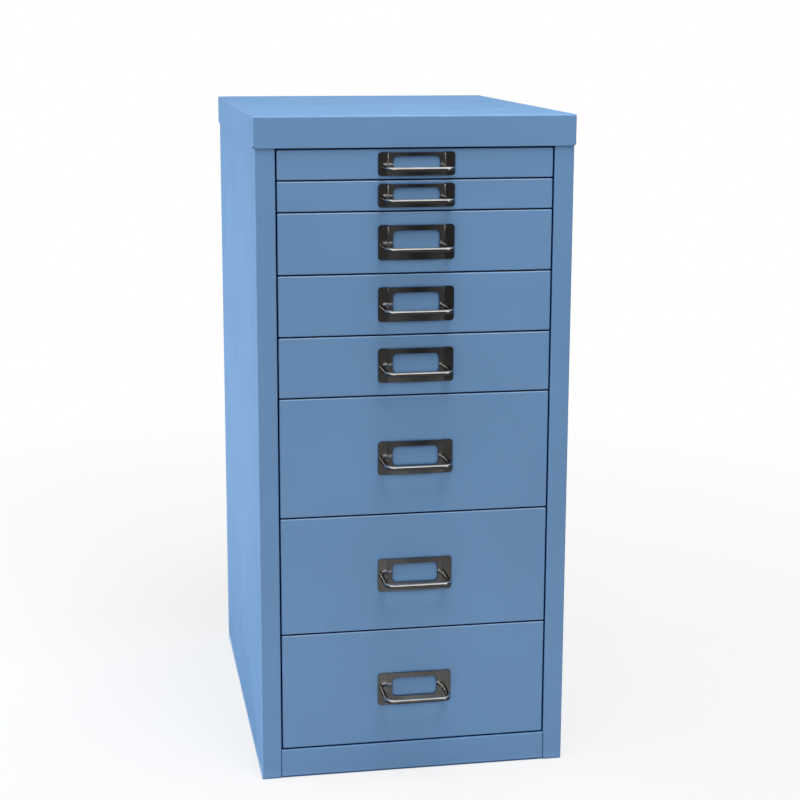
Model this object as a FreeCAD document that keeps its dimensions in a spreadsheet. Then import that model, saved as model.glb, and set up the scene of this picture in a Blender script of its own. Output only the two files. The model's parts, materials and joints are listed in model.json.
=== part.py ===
"""Multi-drawer cabinet of folded sheet steel, with eight drawers of three heights.

The frame has +X to the right, the drawer fronts face -Y and +Z is up. The origin lies in the
middle of the underside. A drawer's pieces and its two runners are drawn in the drawer's own
frame, which has its origin in the middle of the lower edge of the drawer's front face.
"""
import FreeCAD
import Part
import Sketcher
import os

# Driving dimensions, millimetres
SIZES = [
    ("body_width", 276.4, "case over the two side walls"),
    ("body_depth", 377.4, "case from the stiles to the rear returns"),
    ("case_sheet", 0.9, "steel of the case"),
    ("cap_clearance", 0.4, "play between the case and the cap's flanges"),
    ("cap_flange", 26.9, "height of the cap's turned-down flanges"),
    ("cap_edge_radius", 1.8, "rounding of the cap's upper edges and corners"),
    ("cap_rim_radius", 0.6, "rounding of the cap's lower edge"),
    ("stile_width", 17.6, "visible front strip of a side wall"),
    ("stile_return", 25.0, "depth of the stile's return"),
    ("case_bend_radius", 1.5, "outer rounding of the case's bends"),
    ("case_flange", 12.0, "width of the side walls' rear returns and top flanges"),
    ("rail_top", 26.9, "height of the bottom rail's top over the floor"),
    ("rail_return", 12.0, "depth of the rails' returns"),
    ("seam", 0.2, "open joint between a rail and the stiles"),
    ("base_setback", 1.0, "base panel's front edge behind the stiles"),
    ("base_flange", 15.0, "height of the base panel's upturned edges"),
    ("upright_flange", 18.0, "width of the rear uprights' flanges"),
    ("upright_inset", 31.0, "rear uprights' web in front of the back of the case"),
    ("unit_height", 26.75, "pitch of the shallowest drawer"),
    ("reveal", 1.2, "gap round a drawer front"),
    ("front_setback", 0.4, "drawer fronts behind the stiles"),
    ("front_sheet", 0.9, "steel of a drawer front"),
    ("front_depth", 12.0, "depth of the pressed front"),
    ("front_edge_radius", 1.2, "rounding of a drawer front's edges"),
    ("tray_sheet", 0.7, "steel of a tray"),
    ("tray_length", 360.0, "tray from front to back"),
    ("tray_bend_radius", 1.3, "outer rounding of the tray's bottom bends"),
    ("wing_drop", 5.0, "tray's top edge under the top of the front"),
    ("wing_gap", 0.5, "play between a wing and its front or runner"),
    ("slide_gap", 0.3, "running gap under a wing"),
    ("runner_sheet", 0.8, "steel of a runner"),
    ("runner_width", 9.4, "runner channel from its back to its mouth"),
    ("runner_height", 7.0, "clear height inside a runner"),
    ("runner_setback", 1.0, "runner's front end behind the drawer front"),
    ("mouth_gap", 0.8, "play between a runner's mouth and the tray"),
    ("closing_gap", 0.3, "play in front of the closing stop"),
    ("travel", 300.0, "slide of a drawer"),
    ("stop_gap", 0.5, "play left at the pull-out stop"),
    ("stop_rise", 3.7, "height of the tray's stop tab over its wing"),
    ("stop_drop", 4.4, "depth of the runner's stop tab"),
    ("plate_sheet", 0.8, "sheet of a label plate"),
    ("plate_width", 66.3, "width of a label plate"),
    ("plate_radius", 2.75, "rounding of a label plate's corners"),
    ("pocket_width", 50.3, "width of the raised card pocket"),
    ("pocket_rise", 1.2, "clear depth of the card pocket"),
    ("joggle", 0.8, "run of the step beside the card pocket"),
    ("window_width", 41.0, "width of the card window"),
    ("window_radius", 4.0, "rounding of the card window's corners"),
    ("tall_plate_height", 30.0, "label plate of the deeper drawers"),
    ("tall_window_height", 17.6, "its card window"),
    ("tall_window_margin", 4.7, "its card window under its top edge"),
    ("tall_pull_drop", 4.0, "its pull under its middle"),
    ("low_plate_height", 20.0, "label plate of the shallow drawers"),
    ("low_window_height", 12.0, "its card window"),
    ("low_window_margin", 3.3, "its card window under its top edge"),
    ("low_pull_drop", 3.0, "its pull under its middle"),
    ("deep_plate_drop", 2.3, "label plate under the middle of the deepest fronts"),
    ("rod", 4.0, "round bar of a pull"),
    ("pull_centres", 56.5, "distance between a pull's legs"),
    ("pull_reach", 22.5, "pull's bar in front of the drawer front"),
    ("pull_bend", 7.5, "bend of the bar at its middle line"),
    ("spigot", 3.0, "shouldered end of a pull's leg"),
    ("spigot_play", 0.2, "spigot hole over the spigot, on diameter"),
    ("rivet_head", 5.5, "riveted-over end of a spigot"),
    ("rivet_rise", 1.0, "height of the riveted-over end"),
]

# Height of each drawer in units, from the top one down
DRAWER_UNITS = [1, 1, 2, 2, 2, 4, 4, 4]
LOW_PLATE_UNITS = 1
DEEP_UNITS = 4

doc = FreeCAD.newDocument("cabinet")
sheet = doc.addObject("Spreadsheet::Sheet", "Sizes")
for row, (alias, value, note) in enumerate(SIZES, start=1):
    sheet.set(f"A{row}", note)
    sheet.set(f"B{row}", str(value))
    sheet.setAlias(f"B{row}", alias)
doc.recompute()

# Places in the case's frame, worked out from the sheet
HALF_BODY = "(Sizes.body_width / 2)"
HALF_DEPTH = "(Sizes.body_depth / 2)"
HALF_OPENING = f"({HALF_BODY} - Sizes.stile_width)"
INNER_WALL = f"({HALF_BODY} - Sizes.case_sheet)"
ZONE_FLOOR = "(Sizes.rail_top + Sizes.reveal / 2)"
ZONE_TOP = f"({ZONE_FLOOR} + {sum(DRAWER_UNITS)} * Sizes.unit_height)"
CAP_RIM = f"({ZONE_TOP} + Sizes.reveal / 2)"
CAP_TOP = f"({CAP_RIM} + Sizes.cap_flange)"
BODY_TOP = f"({CAP_TOP} - Sizes.case_sheet)"
CAP_OVERHANG = "(Sizes.cap_clearance + Sizes.case_sheet)"
FRONT_PLANE = f"(Sizes.front_setback - {HALF_DEPTH})"

# Places in a drawer's frame
HALF_FRONT = f"({HALF_OPENING} - Sizes.reveal)"
RUNNER_MOUTH = f"({HALF_OPENING} - Sizes.runner_width)"
HALF_TRAY = f"({RUNNER_MOUTH} - Sizes.mouth_gap)"
HALF_WINGS = f"({HALF_OPENING} - Sizes.runner_sheet - Sizes.wing_gap)"
TRAY_REAR = "(Sizes.front_sheet + Sizes.tray_length)"
WING_FRONT = "(Sizes.front_depth + Sizes.wing_gap)"
PULL_SEAT = "(-Sizes.plate_sheet)"
SPIGOT_LENGTH = "(Sizes.plate_sheet + Sizes.front_sheet + Sizes.tray_sheet)"


def number(expression):
    """The value of an expression, as the sheet gives it."""
    return float(sheet.evalExpression(expression))


def make_body(label, y="0", z="0"):
    """An empty body whose frame stands at y, z of the case's frame."""
    body = doc.addObject("PartDesign::Body", label)
    body.Label = label
    body.setExpression("Placement.Base.y", y)
    body.setExpression("Placement.Base.z", z)
    return body


def make_sketch(body, plane, lift):
    """A sketch on one of the body's origin planes, lifted along the plane's normal."""
    sketch = body.newObject("Sketcher::SketchObject", "Sketch")
    support = [item for item in body.Origin.OriginFeatures if item.Role == plane]
    sketch.AttachmentSupport = [(support[0], "")]
    sketch.MapMode = "FlatFace"
    sketch.setExpression("AttachmentOffset.Base.z", lift)
    return sketch


def fix_point(sketch, geometry, point, across, up):
    """Tie a point of the sketch to its place from the sketch's origin."""
    for kind, expression in (("DistanceX", across), ("DistanceY", up)):
        rule = Sketcher.Constraint(kind, -1, 1, geometry, point, number(expression))
        index = sketch.addConstraint(rule)
        sketch.setExpression(f"Constraints[{index}]", expression)


def draw_outline(sketch, corners):
    """Draw a closed outline of straight lines through the corners."""
    spots = [FreeCAD.Vector(number(across), number(up), 0) for across, up in corners]
    count = len(corners)
    for index in range(count):
        line = Part.LineSegment(spots[index], spots[(index + 1) % count])
        sketch.addGeometry(line, False)
    for index in range(count):
        sketch.addConstraint(Sketcher.Constraint("Coincident", index, 2, (index + 1) % count, 1))
    for index, (across, up) in enumerate(corners):
        fix_point(sketch, index, 1, across, up)


def draw_circle(sketch, across, up, diameter):
    """Draw a circle with its middle and diameter tied to the sheet."""
    middle = FreeCAD.Vector(number(across), number(up), 0)
    normal = FreeCAD.Vector(0, 0, 1)
    index = sketch.addGeometry(Part.Circle(middle, normal, number(diameter) / 2), False)
    fix_point(sketch, index, 3, across, up)
    rule = sketch.addConstraint(Sketcher.Constraint("Diameter", index, number(diameter)))
    sketch.setExpression(f"Constraints[{rule}]", diameter)


def extrude(body, sketch, length, kind="Pad", reverse=False):
    """Pad or pocket a sketch."""
    feature = body.newObject(f"PartDesign::{kind}", kind)
    feature.Profile = sketch
    feature.setExpression("Length", length)
    feature.Reversed = reverse
    return feature


def section(body, plane, corners, start, length, kind="Pad"):
    """A folded section: an outline on a plane, run from start over length along its axis."""
    towards_axis = plane != "XZ_Plane"
    lift = start if towards_axis else f"-({start})"
    sketch = make_sketch(body, plane, lift)
    draw_outline(sketch, corners)
    return extrude(body, sketch, length, kind, reverse=towards_axis == (kind == "Pocket"))


def block(body, x_span, y_span, z_span, kind="Pad"):
    """A flat limb, or a straight cut, between two places along each axis."""
    x_low, x_high = x_span
    y_low, y_high = y_span
    z_low, z_high = z_span
    corners = [(x_low, y_low), (x_high, y_low), (x_high, y_high), (x_low, y_high)]
    return section(body, "XY_Plane", corners, z_low, f"({z_high}) - ({z_low})", kind)


def bar(body, x, z, diameter, y_start, length, kind="Pad"):
    """A round stud or a round hole along +Y."""
    sketch = make_sketch(body, "XZ_Plane", f"-({y_start})")
    draw_circle(sketch, x, z, diameter)
    return extrude(body, sketch, length, kind, reverse=kind == "Pad")


def round_edges(body, radius, wanted):
    """Round the edges of the body for which wanted(edge) holds."""
    doc.recompute()
    base = body.Tip
    names = [f"Edge{i}" for i, edge in enumerate(base.Shape.Edges, start=1) if wanted(edge)]
    if not names:
        raise RuntimeError(f"{body.Label}: no edge to round")
    feature = body.newObject("PartDesign::Fillet", "Fillet")
    feature.Base = (base, names)
    feature.setExpression("Radius", radius)


def runs_along(edge, axis):
    """Whether a straight edge runs along an axis, x, y or z."""
    if edge.Curve.TypeId != "Part::GeomLine":
        return False
    return abs(abs(getattr(edge.Curve.Direction, axis)) - 1) < 1e-6


def lies_at(edge, axis, place):
    """Whether both ends of an edge lie at a place along an axis of its body's frame."""
    return all(abs(getattr(end.Point, axis) - place) < 1e-4 for end in edge.Vertexes)


def half_at(edge, axis, place):
    """Whether both ends of an edge lie that far from the middle plane, on either side."""
    return all(abs(abs(getattr(end.Point, axis)) - place) < 1e-4 for end in edge.Vertexes)


def both_ways(half):
    """A span that reaches equally far to both sides of the middle."""
    return (f"-({half})", half)


def side_span(sign, near, far):
    """A span on one side of the middle: sign is -1 on the left and 1 on the right."""
    if sign < 0:
        return (f"-({far})", f"-({near})")
    return (near, far)


def make_top_cap():
    cap = make_body("top_cap")
    half_x = f"({HALF_BODY} + {CAP_OVERHANG})"
    half_y = f"({HALF_DEPTH} + {CAP_OVERHANG})"
    inner_x = f"({HALF_BODY} + Sizes.cap_clearance)"
    inner_y = f"({HALF_DEPTH} + Sizes.cap_clearance)"
    block(cap, both_ways(half_x), both_ways(half_y), (CAP_RIM, CAP_TOP))
    top = number(CAP_TOP)
    rim = number(CAP_RIM)

    def outside(edge):
        return lies_at(edge, "z", top) or runs_along(edge, "z")

    round_edges(cap, "Sizes.cap_edge_radius", outside)
    round_edges(cap, "Sizes.cap_rim_radius", lambda edge: lies_at(edge, "z", rim))
    block(cap, both_ways(inner_x), both_ways(inner_y), (CAP_RIM, BODY_TOP), "Pocket")


def make_side(side, sign):
    """Side wall, stile and returns in plan, then the top flange."""
    wall = make_body(f"{side}_side")
    outer = f"{sign} * {HALF_BODY}"
    inner = f"{sign} * {INNER_WALL}"
    stile_edge = f"{sign} * {HALF_OPENING}"
    return_back = f"{sign} * ({HALF_OPENING} + Sizes.case_sheet)"
    rear_lip = f"{sign} * ({HALF_BODY} - Sizes.case_flange)"
    front = f"-{HALF_DEPTH}"
    behind_stile = f"(Sizes.case_sheet - {HALF_DEPTH})"
    return_end = f"(Sizes.stile_return - {HALF_DEPTH})"
    before_lip = f"({HALF_DEPTH} - Sizes.case_sheet)"
    corners = [
        (outer, front),
        (stile_edge, front),
        (stile_edge, return_end),
        (return_back, return_end),
        (return_back, behind_stile),
        (inner, behind_stile),
        (inner, before_lip),
        (rear_lip, before_lip),
        (rear_lip, HALF_DEPTH),
        (outer, HALF_DEPTH),
    ]
    section(wall, "XY_Plane", corners, "0", BODY_TOP)
    flange_x = side_span(sign, f"{HALF_BODY} - Sizes.case_flange", INNER_WALL)
    flange_z = (f"{BODY_TOP} - Sizes.case_sheet", BODY_TOP)
    block(wall, flange_x, (behind_stile, before_lip), flange_z)
    corner_x = number(HALF_BODY)
    corner_y = number(HALF_DEPTH)
    stile_x = number(HALF_OPENING)

    def bend(edge):
        at_corner = half_at(edge, "x", corner_x) and half_at(edge, "y", corner_y)
        at_stile = half_at(edge, "x", stile_x) and lies_at(edge, "y", -corner_y)
        return runs_along(edge, "z") and (at_corner or at_stile)

    round_edges(wall, "Sizes.case_bend_radius", bend)


def make_back_panel():
    panel = make_body("back_panel")
    face = f"({HALF_DEPTH} - Sizes.case_sheet)"
    y_span = (f"{face} - Sizes.case_sheet", face)
    z_span = ("Sizes.case_sheet", f"{BODY_TOP} - Sizes.case_sheet")
    block(panel, both_ways(INNER_WALL), y_span, z_span)


def make_base_panel():
    """Floor of the case, narrower between the stiles, with its other edges turned up."""
    base = make_body("base_panel")
    tongue = f"({HALF_OPENING} - Sizes.seam)"
    front = f"(Sizes.base_setback - {HALF_DEPTH})"
    shoulder = f"(Sizes.stile_return - {HALF_DEPTH} + Sizes.seam)"
    rear = f"({HALF_DEPTH} - 2 * Sizes.case_sheet)"
    corners = [
        (f"-{tongue}", front),
        (tongue, front),
        (tongue, shoulder),
        (INNER_WALL, shoulder),
        (INNER_WALL, rear),
        (f"-{INNER_WALL}", rear),
        (f"-{INNER_WALL}", shoulder),
        (f"-{tongue}", shoulder),
    ]
    section(base, "XY_Plane", corners, "0", "Sizes.case_sheet")
    rise = ("Sizes.case_sheet", "Sizes.base_flange")
    for sign in (-1, 1):
        edge_x = side_span(sign, f"{INNER_WALL} - Sizes.case_sheet", INNER_WALL)
        block(base, edge_x, (shoulder, rear), rise)
    block(base, both_ways(INNER_WALL), (f"{rear} - Sizes.case_sheet", rear), rise)


def make_rail(label, low, high):
    """Cross rail between the stiles: a front web with a return at its top and bottom."""
    rail = make_body(label)
    half = f"({HALF_OPENING} - Sizes.seam)"
    front = f"-{HALF_DEPTH}"
    behind = f"(Sizes.case_sheet - {HALF_DEPTH})"
    back = f"(Sizes.rail_return - {HALF_DEPTH})"
    inner_low = f"({low} + Sizes.case_sheet)"
    inner_high = f"({high} - Sizes.case_sheet)"
    corners = [
        (front, low),
        (back, low),
        (back, inner_low),
        (behind, inner_low),
        (behind, inner_high),
        (back, inner_high),
        (back, high),
        (front, high),
    ]
    section(rail, "YZ_Plane", corners, f"-{half}", f"2 * {half}")
    corner_y = -number(HALF_DEPTH)

    def front_edge(edge):
        return runs_along(edge, "x") and lies_at(edge, "y", corner_y)

    round_edges(rail, "Sizes.case_bend_radius", front_edge)


def make_upright(side, sign):
    """Rear post in plan: a flange on the side wall, a web, and a flange for the runners."""
    post = make_body(f"{side}_rear_upright")
    wall_face = f"{sign} * {INNER_WALL}"
    wall_flange = f"{sign} * ({INNER_WALL} - Sizes.case_sheet)"
    runner_face = f"{sign} * {HALF_OPENING}"
    runner_flange = f"{sign} * ({HALF_OPENING} + Sizes.case_sheet)"
    web_back = f"({HALF_DEPTH} - Sizes.upright_inset)"
    web_front = f"({web_back} - Sizes.case_sheet)"
    flange_front = f"({web_back} - Sizes.upright_flange)"
    flange_back = f"({web_front} + Sizes.upright_flange)"
    corners = [
        (runner_face, flange_front),
        (runner_flange, flange_front),
        (runner_flange, web_front),
        (wall_face, web_front),
        (wall_face, flange_back),
        (wall_flange, flange_back),
        (wall_flange, web_back),
        (runner_face, web_back),
    ]
    height = f"{BODY_TOP} - Sizes.case_sheet - Sizes.base_flange"
    section(post, "XY_Plane", corners, "Sizes.base_flange", height)


class Drawer:
    """One drawer: its place in the case and the heights of its pieces in its own frame."""

    def __init__(self, index):
        units = DRAWER_UNITS[index]
        below = sum(DRAWER_UNITS[index + 1:])
        self.name = f"drawer_{index + 1}"
        self.number = index + 1
        self.floor = f"({ZONE_FLOOR} + {below} * Sizes.unit_height + Sizes.reveal / 2)"
        self.height = f"({units} * Sizes.unit_height - Sizes.reveal)"
        self.tray_top = f"({self.height} - Sizes.wing_drop)"
        self.wing_under = f"({self.tray_top} - Sizes.tray_sheet)"
        plate = "low" if units <= LOW_PLATE_UNITS else "tall"
        drop = "Sizes.deep_plate_drop" if units >= DEEP_UNITS else "0"
        plate_middle = f"({self.height} / 2 - {drop})"
        self.plate_height = f"Sizes.{plate}_plate_height"
        self.plate_bottom = f"({plate_middle} - {self.plate_height} / 2)"
        self.window_top = f"({self.plate_bottom} + {self.plate_height} - Sizes.{plate}_window_margin)"
        self.window_bottom = f"({self.window_top} - Sizes.{plate}_window_height)"
        self.pull_level = f"({plate_middle} - Sizes.{plate}_pull_drop)"

    def body(self, label):
        """A body in the drawer's own frame."""
        return make_body(label, FRONT_PLANE, self.floor)


def make_runner(drawer, side, sign):
    """Channel that holds one wing of a tray, with a stop at the rear and one near the front."""
    runner = drawer.body(f"{side}_runner_{drawer.number}")
    web = f"{sign} * {HALF_OPENING}"
    web_inner = f"{sign} * ({HALF_OPENING} - Sizes.runner_sheet)"
    mouth = f"{sign} * {RUNNER_MOUTH}"
    ledge = f"({drawer.wing_under} - Sizes.slide_gap)"
    ceiling = f"({ledge} + Sizes.runner_height)"
    under = f"({ledge} - Sizes.runner_sheet)"
    over = f"({ceiling} + Sizes.runner_sheet)"
    corners = [
        (web, under),
        (mouth, under),
        (mouth, ledge),
        (web_inner, ledge),
        (web_inner, ceiling),
        (mouth, ceiling),
        (mouth, over),
        (web, over),
    ]
    front = "(Sizes.front_depth + Sizes.runner_setback)"
    rear = f"({TRAY_REAR} + Sizes.closing_gap + Sizes.runner_sheet)"
    section(runner, "XZ_Plane", corners, front, f"{rear} - {front}")
    channel_x = side_span(sign, RUNNER_MOUTH, f"{HALF_OPENING} - Sizes.runner_sheet")
    block(runner, channel_x, (f"{rear} - Sizes.runner_sheet", rear), (ledge, ceiling))
    stop_face = f"({TRAY_REAR} - Sizes.tray_sheet - Sizes.travel - Sizes.stop_gap)"
    stop_y = (f"{stop_face} - Sizes.runner_sheet", stop_face)
    block(runner, channel_x, stop_y, (f"{ceiling} - Sizes.stop_drop", ceiling))


def make_tray(drawer):
    """Folded tray: floor and sides in section, end walls, wings and their stop tabs."""
    tray = drawer.body(f"{drawer.name}_tray")
    inner_x = f"({HALF_TRAY} - Sizes.tray_sheet)"
    floor = "Sizes.front_sheet"
    floor_top = "(Sizes.front_sheet + Sizes.tray_sheet)"
    corners = [
        (f"-{HALF_TRAY}", floor),
        (HALF_TRAY, floor),
        (HALF_TRAY, drawer.tray_top),
        (inner_x, drawer.tray_top),
        (inner_x, floor_top),
        (f"-{inner_x}", floor_top),
        (f"-{inner_x}", drawer.tray_top),
        (f"-{HALF_TRAY}", drawer.tray_top),
    ]
    section(tray, "XZ_Plane", corners, "Sizes.front_sheet", "Sizes.tray_length")
    half_tray = number(HALF_TRAY)
    level = number(floor)

    def bottom_bend(edge):
        at_bend = half_at(edge, "x", half_tray) and lies_at(edge, "z", level)
        return runs_along(edge, "y") and at_bend

    round_edges(tray, "Sizes.tray_bend_radius", bottom_bend)
    wall_z = (floor_top, drawer.tray_top)
    front_wall = ("Sizes.front_sheet", "Sizes.front_sheet + Sizes.tray_sheet")
    rear_wall = (f"{TRAY_REAR} - Sizes.tray_sheet", TRAY_REAR)
    block(tray, both_ways(inner_x), front_wall, wall_z)
    block(tray, both_ways(inner_x), rear_wall, wall_z)
    tab_z = (drawer.tray_top, f"{drawer.tray_top} + Sizes.stop_rise")
    for sign in (-1, 1):
        wing_x = side_span(sign, HALF_TRAY, HALF_WINGS)
        block(tray, wing_x, (WING_FRONT, TRAY_REAR), (drawer.wing_under, drawer.tray_top))
        block(tray, wing_x, rear_wall, tab_z)
    for sign in (-1, 1):
        drill_for_spigot(tray, drawer, sign, "Sizes.front_sheet", "Sizes.tray_sheet")


def drill_for_spigot(body, drawer, sign, y_start, length):
    """Hole through one sheet for one spigot of the drawer's pull."""
    x = f"{sign} * Sizes.pull_centres / 2"
    bar(body, x, drawer.pull_level, "Sizes.spigot + Sizes.spigot_play", y_start, length, "Pocket")


def make_front(drawer):
    """Pressed pan, open to the rear, with rounded outer edges."""
    front = drawer.body(f"{drawer.name}_front")
    inner_x = f"({HALF_FRONT} - Sizes.front_sheet)"
    inner_z = ("Sizes.front_sheet", f"{drawer.height} - Sizes.front_sheet")
    block(front, both_ways(HALF_FRONT), ("0", "Sizes.front_depth"), ("0", drawer.height))
    block(front, both_ways(inner_x), ("Sizes.front_sheet", "Sizes.front_depth"), inner_z, "Pocket")
    edge_x = number(HALF_FRONT)

    def outside(edge):
        return lies_at(edge, "y", 0) or (runs_along(edge, "y") and half_at(edge, "x", edge_x))

    round_edges(front, "Sizes.front_edge_radius", outside)
    for sign in (-1, 1):
        drill_for_spigot(front, drawer, sign, "0", "Sizes.front_sheet")


def make_label_plate(drawer):
    """Pressed plate with a raised card pocket between two flat lands, and a card window."""
    plate = drawer.body(f"{drawer.name}_label_plate")
    outer = "(Sizes.plate_width / 2)"
    step = "(Sizes.pocket_width / 2)"
    flat = f"({step} - Sizes.joggle)"
    back_step = f"({step} - Sizes.joggle / 2)"
    back_flat = f"({flat} - Sizes.joggle / 2)"
    land = "(-Sizes.plate_sheet)"
    pocket_back = "(-Sizes.pocket_rise)"
    pocket_face = "(-Sizes.pocket_rise - Sizes.plate_sheet)"
    right_half = [
        (flat, pocket_face),
        (step, land),
        (outer, land),
        (outer, "0"),
        (back_step, "0"),
        (back_flat, pocket_back),
    ]
    left_half = [(f"-{across}", along) for across, along in reversed(right_half)]
    section(plate, "XY_Plane", right_half + left_half, drawer.plate_bottom, drawer.plate_height)
    edge_x = number(outer)

    def plate_corner(edge):
        return runs_along(edge, "y") and half_at(edge, "x", edge_x)

    round_edges(plate, "Sizes.plate_radius", plate_corner)
    window_half = "(Sizes.window_width / 2)"
    window_z = (drawer.window_bottom, drawer.window_top)
    block(plate, both_ways(window_half), (pocket_face, pocket_back), window_z, "Pocket")
    window_x = number(window_half)

    def window_corner(edge):
        return runs_along(edge, "y") and half_at(edge, "x", window_x)

    round_edges(plate, "Sizes.window_radius", window_corner)
    for sign in (-1, 1):
        drill_for_spigot(plate, drawer, sign, PULL_SEAT, "Sizes.plate_sheet")


def draw_pull_line(sketch):
    """Middle line of the bent bar: upright legs, two tangent bends and the grip between."""
    half = "(Sizes.pull_centres / 2)"
    reach = "(-Sizes.pull_reach)"
    bend = number("Sizes.pull_bend")
    seat_y = number(PULL_SEAT)
    reach_y = number(reach)
    leg_x = -number(half)
    shift = bend * (1 - 0.5 ** 0.5)
    spot = FreeCAD.Vector
    left = [
        spot(leg_x, seat_y, 0),
        spot(leg_x, reach_y + bend, 0),
        spot(leg_x + shift, reach_y + shift, 0),
        spot(leg_x + bend, reach_y, 0),
    ]
    right = [spot(-place.x, place.y, 0) for place in reversed(left)]
    sketch.addGeometry(Part.LineSegment(left[0], left[1]), False)
    sketch.addGeometry(Part.Arc(left[1], left[2], left[3]), False)
    sketch.addGeometry(Part.LineSegment(left[3], right[0]), False)
    sketch.addGeometry(Part.Arc(right[0], right[1], right[2]), False)
    sketch.addGeometry(Part.LineSegment(right[2], right[3]), False)
    left_leg, left_bend, grip, right_bend, right_leg = range(5)
    for index in range(left_leg, right_leg):
        sketch.addConstraint(Sketcher.Constraint("Tangent", index, 2, index + 1, 1))
    sketch.addConstraint(Sketcher.Constraint("Vertical", left_leg))
    sketch.addConstraint(Sketcher.Constraint("Vertical", right_leg))
    sketch.addConstraint(Sketcher.Constraint("Equal", left_bend, right_bend))
    rule = sketch.addConstraint(Sketcher.Constraint("Radius", left_bend, bend))
    sketch.setExpression(f"Constraints[{rule}]", "Sizes.pull_bend")
    rule = sketch.addConstraint(Sketcher.Constraint("DistanceY", -1, 1, grip, 1, reach_y))
    sketch.setExpression(f"Constraints[{rule}]", reach)
    fix_point(sketch, left_leg, 1, f"-{half}", PULL_SEAT)
    fix_point(sketch, right_leg, 2, half, PULL_SEAT)


def make_pull(drawer):
    """Bar bent twice, with a shouldered and riveted end on each leg."""
    pull = drawer.body(f"{drawer.name}_pull")
    line = make_sketch(pull, "XY_Plane", drawer.pull_level)
    draw_pull_line(line)
    profile = make_sketch(pull, "XZ_Plane", f"-{PULL_SEAT}")
    draw_circle(profile, "-Sizes.pull_centres / 2", drawer.pull_level, "Sizes.rod")
    rod = pull.newObject("PartDesign::AdditivePipe", "Rod")
    rod.Profile = profile
    rod.Spine = (line, [])
    head_seat = "(Sizes.front_sheet + Sizes.tray_sheet)"
    for sign in (-1, 1):
        x = f"{sign} * Sizes.pull_centres / 2"
        bar(pull, x, drawer.pull_level, "Sizes.spigot", PULL_SEAT, SPIGOT_LENGTH)
        bar(pull, x, drawer.pull_level, "Sizes.rivet_head", head_seat, "Sizes.rivet_rise")


def check_document():
    """Stop on a failed object, a pad or pocket without effect, or a body that isn't sound."""
    for item in doc.Objects:
        if "Invalid" in item.State or "Error" in item.State:
            raise RuntimeError(f"{item.Label} failed: {item.State}")
    for item in doc.findObjects("PartDesign::ProfileBased"):
        before = item.BaseFeature.Shape.Volume if item.BaseFeature else 0
        gained = item.Shape.Volume - before
        is_cut = item.TypeId == "PartDesign::Pocket"
        if (gained < 0) != is_cut:
            raise RuntimeError(f"{item.Label} changed the volume by {gained:.3f}")
    for item in doc.findObjects("PartDesign::Body"):
        if item.Shape.isNull() or not item.Shape.isValid():
            raise RuntimeError(f"{item.Label} has no sound shape")
        if len(item.Shape.Solids) != 1:
            raise RuntimeError(f"{item.Label} has {len(item.Shape.Solids)} solids")


def write_parts():
    """Write each body's shape to its own file, named by its label."""
    os.makedirs("parts", exist_ok=True)
    for item in doc.findObjects("PartDesign::Body"):
        item.Shape.exportStep(f"parts/{item.Label}.step")


make_top_cap()
make_back_panel()
make_base_panel()
make_rail("bottom_rail", "Sizes.case_sheet", "Sizes.rail_top")
make_rail("top_rail", f"({CAP_RIM} + Sizes.reveal)", BODY_TOP)
for side, sign in (("left", -1), ("right", 1)):
    make_side(side, sign)
    make_upright(side, sign)
for index in range(len(DRAWER_UNITS)):
    drawer = Drawer(index)
    for side, sign in (("left", -1), ("right", 1)):
        make_runner(drawer, side, sign)
    make_tray(drawer)
    make_front(drawer)
    make_label_plate(drawer)
    make_pull(drawer)
doc.recompute()
check_document()
write_parts()
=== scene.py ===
"""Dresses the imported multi-drawer cabinet: painted sheet steel, plated plates and pulls."""
import json
import math

import bmesh
import bpy
from bpy.props import FloatProperty, FloatVectorProperty, PointerProperty
from mathutils import Matrix, Vector

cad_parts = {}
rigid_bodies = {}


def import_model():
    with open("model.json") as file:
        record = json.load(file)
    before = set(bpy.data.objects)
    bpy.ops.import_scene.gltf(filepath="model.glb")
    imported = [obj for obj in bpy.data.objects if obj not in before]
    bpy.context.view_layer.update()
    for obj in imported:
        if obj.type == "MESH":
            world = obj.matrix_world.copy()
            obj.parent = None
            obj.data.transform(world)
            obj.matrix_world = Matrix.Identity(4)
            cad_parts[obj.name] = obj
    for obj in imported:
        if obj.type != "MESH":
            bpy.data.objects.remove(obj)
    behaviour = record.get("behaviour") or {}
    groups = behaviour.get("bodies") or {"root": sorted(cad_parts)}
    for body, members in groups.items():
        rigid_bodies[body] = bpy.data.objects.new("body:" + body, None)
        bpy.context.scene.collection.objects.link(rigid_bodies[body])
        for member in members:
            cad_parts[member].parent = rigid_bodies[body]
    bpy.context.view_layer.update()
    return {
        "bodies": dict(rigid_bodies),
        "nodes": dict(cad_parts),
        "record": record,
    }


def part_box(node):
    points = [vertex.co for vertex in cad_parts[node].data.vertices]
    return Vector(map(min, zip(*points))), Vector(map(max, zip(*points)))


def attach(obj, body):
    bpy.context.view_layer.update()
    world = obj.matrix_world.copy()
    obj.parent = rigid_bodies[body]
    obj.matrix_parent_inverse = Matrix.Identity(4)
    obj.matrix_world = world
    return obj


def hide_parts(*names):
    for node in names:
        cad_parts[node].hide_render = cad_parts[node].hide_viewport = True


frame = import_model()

bl_info = {
    "name": "Multi-Drawer Cabinet",
    "version": (1, 0, 0),
    "blender": (4, 5, 0),
    "location": "3D View > Sidebar > Cabinet",
    "description": "Dresses a packed multi-drawer cabinet in painted steel and plated trim",
    "category": "Object",
}

MM = 0.001
DRAWERS = sorted(body for body in frame["bodies"] if body.startswith("drawer_"))
SIDES = (("left", -1), ("right", 1))
AXES = {"x": 0, "y": 1, "z": 2}
UP = Vector((0, 0, 1))
WHITE = (1.0, 1.0, 1.0, 1.0)

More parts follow.
